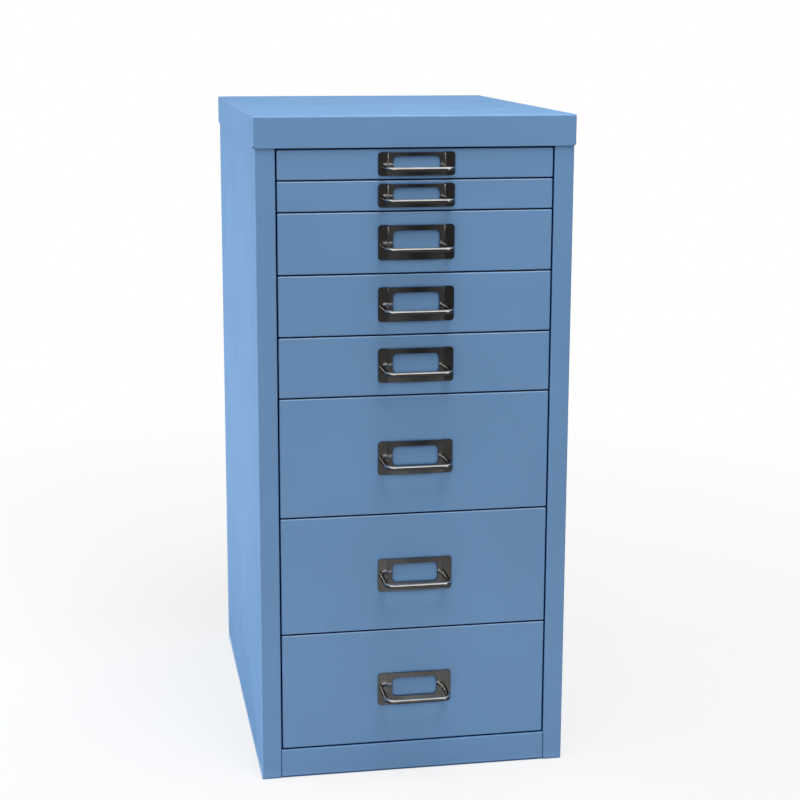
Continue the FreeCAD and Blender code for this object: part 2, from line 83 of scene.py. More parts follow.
# How finely round forms are divided
FOLD_STEPS = 6       # a folded sheet's bend, and a pan's rounded edge
CORNER_STEPS = 8     # a corner of a plate or a card window
PULL_STEPS = 16      # a bend of a pull
BAR_SIDES = 28       # round a bar or a rivet's head
POCKET_STEPS = 6     # across a joggle, and from the middle of a card pocket to its edge

CRISP_ANGLE = math.radians(35)      # a sharper turn stays a crisp corner
CUT_EDGE_ANGLE = math.radians(50)   # a sharper turn is a cut edge, which gets rounded
LEVEL_ANGLE = math.radians(0.5)     # faces that turn less than this become one

# The height from which a plate is a tall one, and for both kinds the card window's height and
# the plate over it
TALL_PLATE = 25 * MM
TALL_WINDOW = (17.6 * MM, 4.7 * MM)
LOW_WINDOW = (12 * MM, 3.3 * MM)

# A riveted end in section: share of the head's radius, and millimetres from its top
RIVET_PROFILE = ((1.0, -1.0), (1.0, -0.55), (0.94, -0.3), (0.78, -0.1), (0.5, 0.0))

# Enamel: spots to the metre of each cloudy pattern
CLOUD_SPOTS = 7.0
CHIP_SPOTS = 160.0
RUB_SPOTS = 24.0
PEEL_SPOTS = 420.0
GRAIN_SPOTS = 2600.0

# Enamel: the two ends of each mask, and what is left where it is weakest
CLOUD_MASK = (0.35, 0.65)
CLOUD_SHADE = 0.95
BEND_MASK = (0.98, 0.8)       # how squarely a surface faces an axis, from flat to bent
CHIP_MASK = (0.4, 0.6)
CHIP_LEAST = 0.75
TOP_MASK = (0.05, 0.5)        # how far a surface faces up, where edges are rubbed paler and carry a painted highlight
TOP_LEAST = 0.1
JOINT_MASK = (0.35, 0.88)     # how open a place is, from deep in a joint to free
RUB_MASK = (0.3, 0.7)
RUB_GLOSS = (-0.04, 0.05)     # what rubbing adds to the roughness, least and most
PEEL_SHARE, GRAIN_SHARE = 0.8, 0.2
PEEL_STRENGTH = 0.6

# Plating: patterns, and the masks of the smudges and of the painted shade on its undersides and
# sides
HAND_SPOTS = 55.0
SMUDGE_MASK = (0.4, 0.7)
SMUDGE_GLOSS_MASK = (0.3, 0.75)
SMUDGE_GLOSS = (-0.03, 0.06)
POLISH_SPOTS = 3.0
POLISH_STRETCH = (60.0, 900.0, 900.0)
POLISH_STRENGTH = 0.25
POLISH_DEPTH = 0.002 * MM
# How dark the painted shade on the plating's undersides and sides gets at most
UNDERSIDE_SHADE_MOST = 0.85
UNDERSIDE_MASK = (-0.7, -0.1)
BESIDE_MASK = (0.3, 0.7)
SHADED_MASK = (0.0, 0.5)
PLATING_TINT = (0.3, 0.3, 0.3, 1.0)

# The floor, and how far from the middle its matt white turns into plain white
FLOOR_HALF = 8.0
FLOOR_DROP = 0.2 * MM
FLOOR_COLOUR = (0.82, 0.82, 0.82, 1.0)
FLOOR_FADE = (0.4, 1.3)
FLOOR_PLAIN = (0.75, 1.0)

# The dark tent that only gloss shows: a bowl, higher behind than in front, in metres
TENT_ROWS, TENT_COLUMNS = 24, 64
TENT_FOOT, TENT_REACH = 0.05, 2.7
TENT_HEIGHT, TENT_LEAN, TENT_CURVE = 1.95, 0.35, 2.2

# The tent's glow, seen only in reflections: dark with waves round it, a glow near the cabinet's
# front, a paler rear, and bright glowing upright slits at these bearings, which start above the
# cabinet's middle. These paint reflections and thin highlights into the plating
TENT_TONE = 0.036
WAVE_TONE, WAVE_COUNT, WAVE_TURN = 0.019, 26.0, math.radians(10)
FRONT_SPAN = (-0.25, -0.15)
NEAR_SPAN, NEAR_TONE = (0.35, 1.15), 0.11
REAR_SPAN, REAR_TONE = (0.1, 0.5), 0.14
REAR_FADE, REAR_LEAST = (0.7, 2.2), 0.3
SLIT_BEARINGS, SLIT_HALF = (-40, -15, 32, 45), math.radians(4)
SLIT_SPAN, SLIT_TONE = (0.35, 0.45), 1.6

# Each lamp's width and height, its place, and the point that it faces, in metres
LAMPS = {
    "top": ((0.9, 0.7), (0.05, -0.4, 2.0), (0.0, 0.0, 0.3)),
    "side": ((1.2, 0.5), (-1.35, 0.1, 0.32), (0.0, 0.0, 0.25)),
    "front": ((1.4, 1.4), (0.45, -2.0, 3.2), (0.0, -0.2, 0.3)),
    "rear": ((1.0, 1.0), (1.5, 1.4, 0.8), (0.0, 0.0, 0.3)),
}

# The camera's place in metres, its turns in radians, and its sensor in millimetres
CAMERA_PLACE = Vector((-0.27262, -1.63106, 0.66864))
CAMERA_YAW = math.radians(10.167)
CAMERA_PITCH = math.radians(11.481)
CAMERA_ROLL = math.radians(0.176)
CAMERA_SHIFT = -0.0375
SENSOR_WIDTH = 36.0


# Values that a user may change


def length(name, default, description):
    """A size that a user may change, in metres."""
    return FloatProperty(name=name, description=description, default=default, min=0.0,
                         unit="LENGTH", precision=5)


def share(name, default, description):
    """A value from 0 to 1 that a user may change."""
    return FloatProperty(name=name, description=description, default=default, min=0.0, max=1.0,
                         subtype="FACTOR")


def colour(name, default, description):
    """A colour that a user may change, in linear light."""
    return FloatVectorProperty(name=name, description=description, default=default, size=3,
                               min=0.0, max=1.0, subtype="COLOR")


def power(name, default, description):
    """A lamp's power that a user may change, in watts."""
    return FloatProperty(name=name, description=description, default=default, min=0.0,
                         unit="POWER")


class SheetSizes(bpy.types.PropertyGroup):
    """Sheets, bends and rounded edges of the case and the drawer fronts."""

    case_sheet: length("Case Sheet", 0.9 * MM, "Steel of the case")
    case_bend: length("Case Bend", 1.05 * MM, "Bends of the case at the middle of the sheet")
    stile_return: length("Stile Return", 25 * MM, "Depth of the return behind each stile")
    rear_lip: length("Rear Lip", 12 * MM, "Width of the side walls' rear lips and top flanges")
    cut_edge: length("Cut Edge", 0.18 * MM, "Rounding of a sheet's cut edges under its paint")
    cap_edge: length("Cap Edge", 1.8 * MM, "Rounding of the cap's pressed edges")
    cap_corner: length("Cap Corner", 2.2 * MM, "Rounding of the cap flanges' lower corners")
    front_sheet: length("Front Sheet", 0.9 * MM, "Steel of a drawer front")
    front_edge: length("Front Edge", 1.2 * MM, "Rounding of a drawer front's edges")


class TrimSizes(bpy.types.PropertyGroup):
    """Sizes of the label plates and the bow pulls."""

    plate_sheet: length("Plate Sheet", 0.8 * MM, "Sheet of a label plate")
    plate_corner: length("Plate Corner", 2.75 * MM, "Rounding of a label plate's corners")
    plate_edge: length("Plate Edge", 0.22 * MM, "Rounding of a label plate's edges")
    pocket_width: length("Pocket Width", 50.3 * MM, "Width of the raised card pocket")
    pocket_rise: length("Pocket Rise", 1.2 * MM, "Depth of the card pocket")
    joggle: length("Joggle", 0.8 * MM, "Run of the step beside the card pocket")
    pocket_dip: length("Pocket Dip", 0.4 * MM, "Top of the pocket under the top of the lands")
    pocket_crown: length("Pocket Crown", 0.45 * MM, "Fall of the pocket to its top and bottom")
    pocket_bow: length("Pocket Bow", 0.7 * MM, "Fall of the pocket to its two sides")
    window_width: length("Window Width", 41 * MM, "Width of the card window")
    window_corner: length("Window Corner", 4 * MM, "Rounding of the card window's corners")
    rod: length("Rod", 4 * MM, "Round bar of a pull")
    pull_centres: length("Pull Centres", 56.5 * MM, "Distance between a pull's legs")
    pull_bend: length("Pull Bend", 7.5 * MM, "Bend of the bar at its middle line")
    rivet_head: length("Rivet Head", 5.5 * MM, "Riveted-over end of a leg")


class PaintFinish(bpy.types.PropertyGroup):
    """Baked enamel of the case and the drawers."""

    base: colour("Paint", (0.192, 0.383, 0.675), "Colour of the enamel")
    # Paler enamel on the edges: paint drawn thin, and a painted highlight on the edges that face
    # up
    worn_and_lit: colour("Thin Edge", (0.5, 0.66, 0.86), "Enamel drawn thin over an edge")
    # The deep blue of the painted shade in the joints and gaps
    grime_and_shade: colour("Grime", (0.002, 0.08, 0.29), "Dust held in the joints")
    roughness: share("Roughness", 0.42, "Gloss of the enamel, from mirror to matt")
    peel: length("Orange Peel", 0.012 * MM, "Height of the enamel's orange peel")
    # How far the painted shade and the rougher surface reach out of a joint
    dust_and_shade_reach: length("Dust Reach", 4 * MM, "How far dust reaches out of a joint")
    # How much of the paler edge, thinned paint and painted highlight, the case gets
    case_wear_and_highlight: share("Case Wear", 0.15, "Thin enamel on the case's edges, next to the drawers'")
    # Darker copies of the enamel: a painted shade for the parts inside the case and for the trays
    inner_painted_shade: share("Inner Shade", 0.96, "Paleness of the enamel inside the case")
    tray_painted_shade: share("Tray Shade", 0.98, "Paleness of the enamel on the trays")


class PlatingFinish(bpy.types.PropertyGroup):
    """Bright plating of the plates and pulls."""

    base: colour("Plating", (0.7, 0.69, 0.67), "Colour of the plating")
    smudge: colour("Smudge", (0.56, 0.545, 0.52), "Plating where hands have dulled it")
    # The dark colour of the painted shade on the plating's undersides and sides
    underside_shade: colour("Tarnish", (0.12, 0.11, 0.1), "Plating on the undersides, dulled by grime")
    roughness: share("Roughness", 0.1, "Gloss of the plating, from mirror to matt")


class StudioLight(bpy.types.PropertyGroup):
    """Lamps, room and lens."""

    top: power("Top Lamp", 20.5, "Power of the lamp over the cabinet")
    side: power("Side Lamp", 15.0, "Power of the lamp on the left")
    front: power("Front Lamp", 32.5, "Power of the lamp over the camera")
    rear: power("Rear Lamp", 9.0, "Power of the lamp behind on the right")
    sky: share("Sky", 0.16, "Light from the white room all round")
    lens: FloatProperty(name="Lens", description="Focal length in millimetres", default=77.59,
                        min=1.0, subtype="DISTANCE_CAMERA")


def settings(name):
    """One of the add-on's groups of values."""
    return getattr(bpy.context.scene, name)


# Materials


class Nodes:
    """A material's node tree, built up by short calls."""

    def __init__(self, tree):
        self.tree = tree
        self.tree.nodes.clear()

    def add(self, kind, links=None, **values):
        """Add a node, set its own values, and fill its inputs with numbers or other outputs."""
        item = self.tree.nodes.new(f"ShaderNode{kind}")
        for name, value in values.items():
            setattr(item, name, value)
        for key, source in (links or {}).items():
            socket = item.inputs[key]
            if isinstance(source, bpy.types.NodeSocket):
                self.tree.links.new(source, socket)
            else:
                socket.default_value = source
        return item

    def math(self, operation, first, second=0.0):
        """The result of one sum."""
        return self.add("Math", {0: first, 1: second}, operation=operation).outputs[0]

    def product(self, first, *others):
        """Several values multiplied."""
        for other in others:
            first = self.math("MULTIPLY", first, other)
        return first

    def blend(self, share_of_second, first, second):
        """A mix of two colours."""
        links = {0: share_of_second, 6: first, 7: second}
        return self.add("Mix", links, data_type="RGBA").outputs[2]

    def between(self, value, low, high, to_low=0.0, to_high=1.0):
        """A value stretched from one range to another and held inside it."""
        item = self.add("MapRange", {"Value": value, "From Min": low, "From Max": high,
                                     "To Min": to_low, "To Max": to_high})
        return item.outputs[0]

    def noise(self, place, spots, detail=2.0):
        """A cloudy pattern with that many spots to the metre."""
        item = self.add("TexNoise", {"Vector": place, "Scale": spots, "Detail": detail})
        return item.outputs["Fac"]

    def place(self):
        """The place on the piece, in metres."""
        return self.add("TexCoord").outputs["Object"]

    def turned(self):
        """The direction that the surface faces."""
        return self.add("NewGeometry").outputs["Normal"]

    def length_of(self, vector):
        """The length of a vector."""
        return self.add("VectorMath", {0: vector}, operation="LENGTH").outputs["Value"]

    def axes(self, vector):
        """The X, Y and Z of a vector."""
        return self.add("SeparateXYZ", {0: vector}).outputs

    def surface(self, shader, kind="Material"):
        """Hand the shader to the material or the world."""
        self.add(f"Output{kind}", {"Surface": shader.outputs[0]})


def opaque(values):
    """A colour with its alpha."""
    return (*values, 1.0)


def new_material(name):
    """A new material and its empty node tree."""
    material = bpy.data.materials.new(name)
    material.use_nodes = True
    return material, Nodes(material.node_tree)


def thin_and_lit_edges(nodes, place, wear_and_highlight):
    """Paler enamel over bends and edges, most of all where they face up: paint drawn thin, and a
    painted highlight.
    """
    turned = nodes.turned()
    facing = nodes.axes(nodes.add("VectorMath", {0: turned}, operation="ABSOLUTE").outputs[0])
    squarest = nodes.math("MAXIMUM", nodes.math("MAXIMUM", facing["X"], facing["Y"]),
                          facing["Z"])
    edges = nodes.between(squarest, *BEND_MASK)
    chips = nodes.between(nodes.noise(place, CHIP_SPOTS, 4.0), *CHIP_MASK, CHIP_LEAST, 1.0)
    # Strongest where an edge faces up: rubbed paint and a painted highlight
    rubbed_and_lit_top = nodes.between(nodes.axes(turned)["Z"], *TOP_MASK, TOP_LEAST, 1.0)
    return nodes.product(edges, chips, rubbed_and_lit_top, wear_and_highlight)


def make_enamel(name, shade=1.0, wear_and_highlight=1.0):
    """Satin baked enamel: orange peel, faint clouding, thin edges with a painted highlight, and
    painted shade in the joints, which are rougher too.
    """
    paint = settings("cabinet_paint")
    material, nodes = new_material(name)
    place = nodes.place()
    base = opaque([channel * shade for channel in paint.base])
    deep = opaque([channel * shade * CLOUD_SHADE for channel in paint.base])
    clouds = nodes.between(nodes.noise(place, CLOUD_SPOTS, 3.0), *CLOUD_MASK)
    tone = nodes.blend(clouds, deep, base)
    # Paler on bends and edges: thinned enamel and a painted highlight, strongest on edges that
    # face up
    tone = nodes.blend(thin_and_lit_edges(nodes, place, wear_and_highlight), tone, opaque(paint.worn_and_lit))
    # Painted shade: deep blue where little is open round a place, in joints and gaps; the same
    # mask makes them rougher
    nook = nodes.add("AmbientOcclusion", {"Distance": paint.dust_and_shade_reach}, samples=8)
    dust_and_shade = nodes.between(nook.outputs["AO"], *JOINT_MASK, 1.0, 0.0)
    tone = nodes.blend(dust_and_shade, tone, opaque(paint.grime_and_shade))
    peel = nodes.product(nodes.noise(place, PEEL_SPOTS), PEEL_SHARE)
    grain = nodes.product(nodes.noise(place, GRAIN_SPOTS, 1.0), GRAIN_SHARE)
    bump = nodes.add("Bump", {"Height": nodes.math("ADD", peel, grain),
                              "Strength": PEEL_STRENGTH, "Distance": paint.peel})
    gloss = [paint.roughness + change for change in RUB_GLOSS]
    rough = nodes.between(nodes.noise(place, RUB_SPOTS, 3.0), *RUB_MASK, *gloss)
    rough = nodes.math("MAXIMUM", rough, dust_and_shade)
    nodes.surface(nodes.add("BsdfPrincipled", {"Base Color": tone, "Roughness": rough,
                                               "Normal": bump.outputs[0],
                                               "Specular IOR Level": 0.5}))
    return material


def make_plating(name):
    """Dark bright plating with polishing lines, handling smudges, and painted shade on its
    undersides and sides.
    """
    plating = settings("cabinet_plating")
    material, nodes = new_material(name)
    place = nodes.place()
    hands = nodes.noise(place, HAND_SPOTS, 4.0)
    tone = nodes.blend(nodes.between(hands, *SMUDGE_MASK), opaque(plating.base),
                       opaque(plating.smudge))
    facing = nodes.axes(nodes.turned())
    # Painted shade: darker on the undersides and on sides that do not face up
    under = nodes.between(facing["Z"], *UNDERSIDE_MASK, UNDERSIDE_SHADE_MOST, 0.0)
    sideways = nodes.math("ABSOLUTE", facing["X"])
    beside = nodes.product(nodes.between(sideways, *BESIDE_MASK, 0.0, UNDERSIDE_SHADE_MOST),
                           nodes.between(facing["Z"], *SHADED_MASK, 1.0, 0.0))
    tone = nodes.blend(nodes.math("MAXIMUM", under, beside), tone, opaque(plating.underside_shade))
    stretched = nodes.add("Mapping", {"Vector": place, "Scale": POLISH_STRETCH})
    lines = nodes.noise(stretched.outputs[0], POLISH_SPOTS)
    bump = nodes.add("Bump", {"Height": lines, "Strength": POLISH_STRENGTH,
                              "Distance": POLISH_DEPTH})
    gloss = [plating.roughness + change for change in SMUDGE_GLOSS]
    rough = nodes.between(hands, *SMUDGE_GLOSS_MASK, *gloss)
    nodes.surface(nodes.add("BsdfPrincipled", {"Base Color": tone, "Roughness": rough,
                                               "Normal": bump.outputs[0], "Metallic": 1.0,
                                               "Specular Tint": PLATING_TINT}))
    return material


def seen_directly(nodes):
    """1 for a ray from the camera, off gloss or through glass, else 0."""
    path = nodes.add("LightPath").outputs
    seen = nodes.math("MAXIMUM", path["Is Camera Ray"], path["Is Glossy Ray"])
    return nodes.math("MAXIMUM", seen, path["Is Transmission Ray"])


def make_floor():
    """Matt white near the cabinet, which keeps its shadow, and plain white further out."""
    material, nodes = new_material("white_floor")
    reach = nodes.length_of(nodes.place())
    plain = nodes.between(reach, *FLOOR_FADE, *FLOOR_PLAIN)
    glow_share = nodes.product(plain, seen_directly(nodes))
    matt = nodes.add("BsdfDiffuse", {"Color": FLOOR_COLOUR})
    glow = nodes.add("Emission", {"Color": WHITE, "Strength": 1.0})
    nodes.surface(nodes.add("MixShader", {0: glow_share, 1: matt.outputs[0],
                                          2: glow.outputs[0]}))
    return material


def make_glowing_tent():
    """The tent's glowing surface, dark with faint waves, a paler rear and a few bright slits,
    which paint reflections and highlights into the plating.
    """
    material, nodes = new_material("dark_cloth")
    axes = nodes.axes(nodes.place())
    flat = nodes.add("CombineXYZ", {"X": axes["X"], "Y": axes["Y"]})
    reach = nodes.length_of(flat.outputs[0])
    bearing = nodes.math("ARCTAN2", axes["X"], nodes.product(axes["Y"], -1.0))
    turn = nodes.math("SUBTRACT", bearing, WAVE_TURN)
    waves = nodes.math("COSINE", nodes.product(turn, WAVE_COUNT))
    dark = nodes.math("SUBTRACT", TENT_TONE, nodes.product(waves, WAVE_TONE))
    near = nodes.product(nodes.between(reach, *NEAR_SPAN, NEAR_TONE, 0.0),
                         nodes.between(axes["Y"], *FRONT_SPAN, 1.0, 0.0))
    rear = nodes.product(nodes.between(axes["Y"], *REAR_SPAN, 0.0, REAR_TONE),
                         nodes.between(axes["Y"], *REAR_FADE, 1.0, REAR_LEAST))
    tone = nodes.math("ADD", nodes.math("ADD", near, dark), rear)
    above = nodes.between(axes["Z"], *SLIT_SPAN, 0.0, SLIT_TONE)
    for side in SLIT_BEARINGS:
        slit = nodes.add("Math", {0: bearing, 1: math.radians(side), 2: SLIT_HALF},
                         operation="COMPARE")
        tone = nodes.math("ADD", tone, nodes.product(slit.outputs[0], above))
    nodes.surface(nodes.add("Emission", {"Color": WHITE, "Strength": tone}))
    return material


# Meshes


def mesh_of(bm, name):
    """Turn the working mesh into a mesh."""
    mesh = bpy.data.meshes.new(name)
    bm.to_mesh(mesh)
    bm.free()
    return mesh


def crisp_mesh(bm, name):
    """Turn the working mesh into a mesh with smooth faces and crisp corners."""
    mesh = mesh_of(bm, name)
    mesh.shade_smooth()
    mesh.set_sharp_from_angle(angle=CRISP_ANGLE)
    return mesh


def closed_mesh(bm, name):
    """Face everything outwards, then smooth it with crisp corners."""
    bmesh.ops.recalc_face_normals(bm, faces=bm.faces)
    return crisp_mesh(bm, name)


def add_object(name, data):
    """Put a new object in the scene."""
    item = bpy.data.objects.new(name, data)
    bpy.context.scene.collection.objects.link(item)
    return item


def place_piece(name, mesh, body, slot, material, *nodes):
    """Put a mesh in the scene on its body, in place of the solids that it stands for."""
    piece = add_object(name, mesh)
    mesh.materials.append(bpy.data.materials[material])
    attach(piece, body)
    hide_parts(*nodes)
    return piece


def thicken(piece, sheet):
    """Give an open shell its sheet, inwards from its outer face."""
    shell = piece.modifiers.new("Sheet", "SOLIDIFY")
    shell.thickness = sheet
    shell.offset = -1.0
    shell.use_even_offset = True


def even_shading(piece, weight=50):
    """Let a piece's larger faces set the shading of its rounded edges."""
    shading = piece.modifiers.new("Shading", "WEIGHTED_NORMAL")
    shading.keep_sharp = True
    shading.weight = weight


def soften(piece, width, segments=2):
    """Round a piece's cut edges and even out its shading."""
    edge = piece.modifiers.new("Cut edges", "BEVEL")
    edge.width = width
    edge.segments = segments
    edge.limit_method = "ANGLE"
    edge.angle_limit = CUT_EDGE_ANGLE
    edge.miter_outer = "MITER_ARC"
    even_shading(piece, 80)


def add_block(bm, low, high):
    """A box between two corners."""
    made = bmesh.ops.create_cube(bm, size=1.0)
    place = Matrix.LocRotScale((low + high) / 2, None, high - low)
    bmesh.ops.transform(bm, matrix=place, verts=made["verts"])


def cut(bm, place, across, **values):
    """Cut every face along a plane, and keep both parts."""
    bmesh.ops.bisect_plane(bm, geom=bm.verts[:] + bm.edges[:] + bm.faces[:], plane_co=place,
                           plane_no=across, **values)


def join_rings(bm, rings):
    """Faces between rings that have the same number of points."""
    for first, second in zip(rings, rings[1:]):
        for i in range(len(first)):
            j = (i + 1) % len(first)
            bm.faces.new((first[i], first[j], second[j], second[i]))


def close_ends(bm, rings):
    """A face over each end of a run of rings."""
    bm.faces.new(rings[0])
    bm.faces.new(rings[-1])


def round_angles(count):
    """That many even turns round a circle."""
    return [2 * math.pi * i / count for i in range(count)]


def pan_mesh(name, low, high, open_face, radius):
    """A pressed pan: a box that is open on one face, with every other edge rounded."""
    bm = bmesh.new()
    add_block(bm, low, high)
    bm.normal_update()
    lid = [face for face in bm.faces if face.normal.dot(open_face) > 0.9]
    bmesh.ops.delete(bm, geom=lid, context="FACES_ONLY")
    rounded = [edge for edge in bm.edges if not edge.is_boundary]
    bmesh.ops.bevel(bm, geom=rounded, offset=radius, segments=FOLD_STEPS, profile=0.5,
                    affect="EDGES")
    return closed_mesh(bm, name)


def clip_corners(mesh, low, high, radius, clip):
    """Round off the lower corners of the cap's flanges."""
    middle = (low + high) / 2
    reach = (high - low) / 2 - Vector((1, 1, 1)) * (radius + clip)
    bm = bmesh.new()
    bm.from_mesh(mesh)
    for axis in (Vector((1, 0, 0)), Vector((0, 1, 0))):
        for sign in (-1, 1):
            cut(bm, middle + sign * axis * axis.dot(reach), axis, dist=1e-6)
    bend_middle = clip + 0.7 * radius       # how far outside reach the bend's middle is
    rim = low.z + 0.01 * MM
    for vert in bm.verts:
        if vert.co.z < rim:
            inside = min(abs(vert.co.x - middle.x) - reach.x, abs(vert.co.y - middle.y) - reach.y)
            vert.co.z += clip * (max(0.0, inside) / bend_middle) ** 2
    bm.to_mesh(mesh)
    bm.free()


def fold_line(path, bend, steps=FOLD_STEPS):
    """Places and sideways directions along the middle line of a folded sheet."""
    corners = [Vector(point) for point in path]
    runs = [(end - start).normalized() for start, end in zip(corners, corners[1:])]

    def sideways(run):
        return Vector((-run.y, run.x))

    stations = [(corners[0], sideways(runs[0]))]
    for before, after, corner in zip(runs, runs[1:], corners[1:]):
        turn = before.angle_signed(after)
        reach = bend * math.tan(abs(turn) / 2)
        start = corner - before * reach
        turn_left = 1.0 if before.cross(after) > 0 else -1.0
        centre = start + sideways(before) * bend * turn_left
        for step in range(steps + 1):
            spin = Matrix.Rotation(abs(turn) * step / steps * turn_left, 2)
            stations.append((centre + spin @ (start - centre), spin @ sideways(before)))
    stations.append((corners[-1], sideways(runs[-1])))
    return stations


def fold_outline(path, sheet, bend):
    """Closed outline of a folded sheet in section."""
    stations = fold_line(path, bend)
    half = sheet / 2
    near = [place + side * half for place, side in stations]
    far = [place - side * half for place, side in reversed(stations)]
    return near + far


def run_outline(bm, outline, axis, low, high):
    """Run a closed outline along an axis between two places."""
    rings = []
    for along in (low, high):
        ring = []
        for point in outline:
            spot = [point[0], point[1]]
            spot.insert(AXES[axis], along)
            ring.append(bm.verts.new(spot))
        rings.append(ring)
    join_rings(bm, rings)
    close_ends(bm, rings)


def rounded_loop(low, high, radius, steps=CORNER_STEPS):
    """Corners and arcs of a rounded rectangle, anticlockwise."""
    points = []
    corners = ((high[0], high[1], 0), (low[0], high[1], 90), (low[0], low[1], 180),
               (high[0], low[1], 270))
    for x, z, start in corners:
        centre_x = x - math.copysign(radius, x - (low[0] + high[0]) / 2)
        centre_z = z - math.copysign(radius, z - (low[1] + high[1]) / 2)
        for step in range(steps + 1):
            angle = math.radians(start + 90 * step / steps)
            points.append((centre_x + radius * math.cos(angle),
                           centre_z + radius * math.sin(angle)))
    return points


def smooth_step(value):
    """0 to 1 with level ends."""
    value = min(max(value, 0.0), 1.0)
    return value * value * (3 - 2 * value)


def plate_mesh(name, low, high, window, trim):
    """A label plate's front face: two lands, a joggle each side and the raised card pocket."""
    bm = bmesh.new()
    edges = []
    loops = (rounded_loop((low.x, low.z), (high.x, high.z), trim.plate_corner),
             rounded_loop(*window, trim.window_corner))
    for loop in loops:
        ring = [bm.verts.new((x, 0.0, z)) for x, z in loop]
        edges += [bm.edges.new(pair) for pair in zip(ring[-1:] + ring, ring)]
    bmesh.ops.triangle_fill(bm, edges=edges, use_beauty=True, use_dissolve=False)
    step = trim.pocket_width / 2
    flat = step - trim.joggle
    for i in range(POCKET_STEPS + 1):
        for sign in (-1, 1):
            cut(bm, (sign * (flat + trim.joggle * i / POCKET_STEPS), 0, 0), (1, 0, 0))
    middle = (low.z + high.z) / 2
    half = (high.z - low.z) / 2
    for part in range(1 - POCKET_STEPS, POCKET_STEPS):
        cut(bm, (0, 0, middle + half * part / POCKET_STEPS), (0, 0, 1))
        cut(bm, (flat * part / POCKET_STEPS, 0, 0), (1, 0, 0))
    land = low.y + trim.pocket_rise
    rim = window[1][1] + 1 * MM
    for vert in bm.verts:
        lift = smooth_step((step - abs(vert.co.x)) / trim.joggle)
        crown = trim.pocket_crown * ((vert.co.z - middle) / half) ** 2
        bow = trim.pocket_bow * (vert.co.x / step) ** 2
        vert.co.y = land - (trim.pocket_rise - crown - bow) * lift
        if vert.co.z > rim:
            vert.co.z -= trim.pocket_dip * lift
    bmesh.ops.dissolve_limit(bm, angle_limit=LEVEL_ANGLE, verts=bm.verts, edges=bm.edges)
    for face in bm.faces:
        if face.normal.y > 0:
            face.normal_flip()
    return crisp_mesh(bm, name)


def sweep_bar(bm, stations, radius):
    """A round bar along places and directions that lie level."""
    rings = []
    for place, run in stations:
        side = run.cross(UP)
        ring = []
        for angle in round_angles(BAR_SIDES):
            offset = side * math.cos(angle) + UP * math.sin(angle)
            ring.append(bm.verts.new(place + offset * radius))
        rings.append(ring)
    join_rings(bm, rings)
    close_ends(bm, rings)


def turn_round(bm, centre, profile):
    """A turned form along +Y from a list of radius and depth."""
    rings = []
    for radius, depth in profile:
        ring = []
        for angle in round_angles(BAR_SIDES):
            offset = Vector((radius * math.cos(angle), depth, radius * math.sin(angle)))
            ring.append(bm.verts.new(centre + offset))
        rings.append(ring)
    join_rings(bm, rings)
    close_ends(bm, rings)


def tent_mesh(name):
    """A wide open bowl round the cabinet, which rises faster further out."""
    bm = bmesh.new()
    rings = []
    for row in range(TENT_ROWS + 1):
        out = row / TENT_ROWS
        reach = TENT_FOOT + TENT_REACH * out
        ring = []
        for angle in round_angles(TENT_COLUMNS):
            height = 1 * MM + (TENT_HEIGHT + TENT_LEAN * math.sin(angle)) * out ** TENT_CURVE
            ring.append(bm.verts.new((reach * math.cos(angle), reach * math.sin(angle), height)))
        rings.append(ring)
    join_rings(bm, rings)
    return mesh_of(bm, name)


# Operators


class CABINET_OT_finishes(bpy.types.Operator):
    """Mix the enamels and the plating"""

    bl_idname = "cabinet.finishes"
    bl_label = "Finishes"

    def execute(self, context):
        paint = settings("cabinet_paint")
        # The case's edges get only a little of the paler edge and its painted highlight
        make_enamel("case_enamel", wear_and_highlight=paint.case_wear_and_highlight)
        make_enamel("drawer_enamel")
        # Darker copies of the enamel: painted shade for the parts inside the case and the trays
        make_enamel("inner_enamel", paint.inner_painted_shade)
        make_enamel("tray_enamel", paint.tray_painted_shade)
        make_plating("bright_plating")
        return {"FINISHED"}


class CABINET_OT_top_cap(bpy.types.Operator):
    """Press the lid with its turned-down flanges"""

    bl_idname = "cabinet.top_cap"
    bl_label = "Top Cap"

    def execute(self, context):
        sizes = settings("cabinet_sheets")
        low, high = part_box("top_cap")
        name = "top_cap_pressing"
        mesh = pan_mesh(name, low, high, -UP, sizes.cap_edge)
        clip_corners(mesh, low, high, sizes.cap_edge, sizes.cap_corner)
        piece = place_piece(name, mesh, "case", "case_paint", "case_enamel", "top_cap")
        thicken(piece, sizes.case_sheet)
        soften(piece, 2 * sizes.cut_edge, 3)
        return {"FINISHED"}


class CABINET_OT_side_walls(bpy.types.Operator):
    """Fold each side wall with its stile, returns and top flange"""

    bl_idname = "cabinet.side_walls"
    bl_label = "Side Walls"

    def execute(self, context):
        sizes = settings("cabinet_sheets")
        sheet = sizes.case_sheet
        half = sheet / 2
        for side, sign in SIDES:
            low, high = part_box(f"{side}_side")
            outer = high.x if sign > 0 else low.x
            stile = low.x if sign > 0 else high.x
            wall_x = outer - sign * half
            return_x = stile + sign * half
            path = [
                (return_x, low.y + sizes.stile_return),
                (return_x, low.y + half),
                (wall_x, low.y + half),
                (wall_x, high.y - half),
                (outer - sign * sizes.rear_lip, high.y - half),
            ]
            bm = bmesh.new()
            run_outline(bm, fold_outline(path, sheet, sizes.case_bend), "z", low.z, high.z)
            flange = sorted((outer - sign * sizes.rear_lip, outer - sign * sheet))
            add_block(bm, Vector((flange[0], low.y + sheet, high.z - sheet)),
                      Vector((flange[1], high.y - sheet, high.z)))
            name = f"{side}_side_panel"
            piece = place_piece(name, closed_mesh(bm, name), "case", "case_paint",
                                "case_enamel", f"{side}_side")
            soften(piece, sizes.cut_edge)
        return {"FINISHED"}


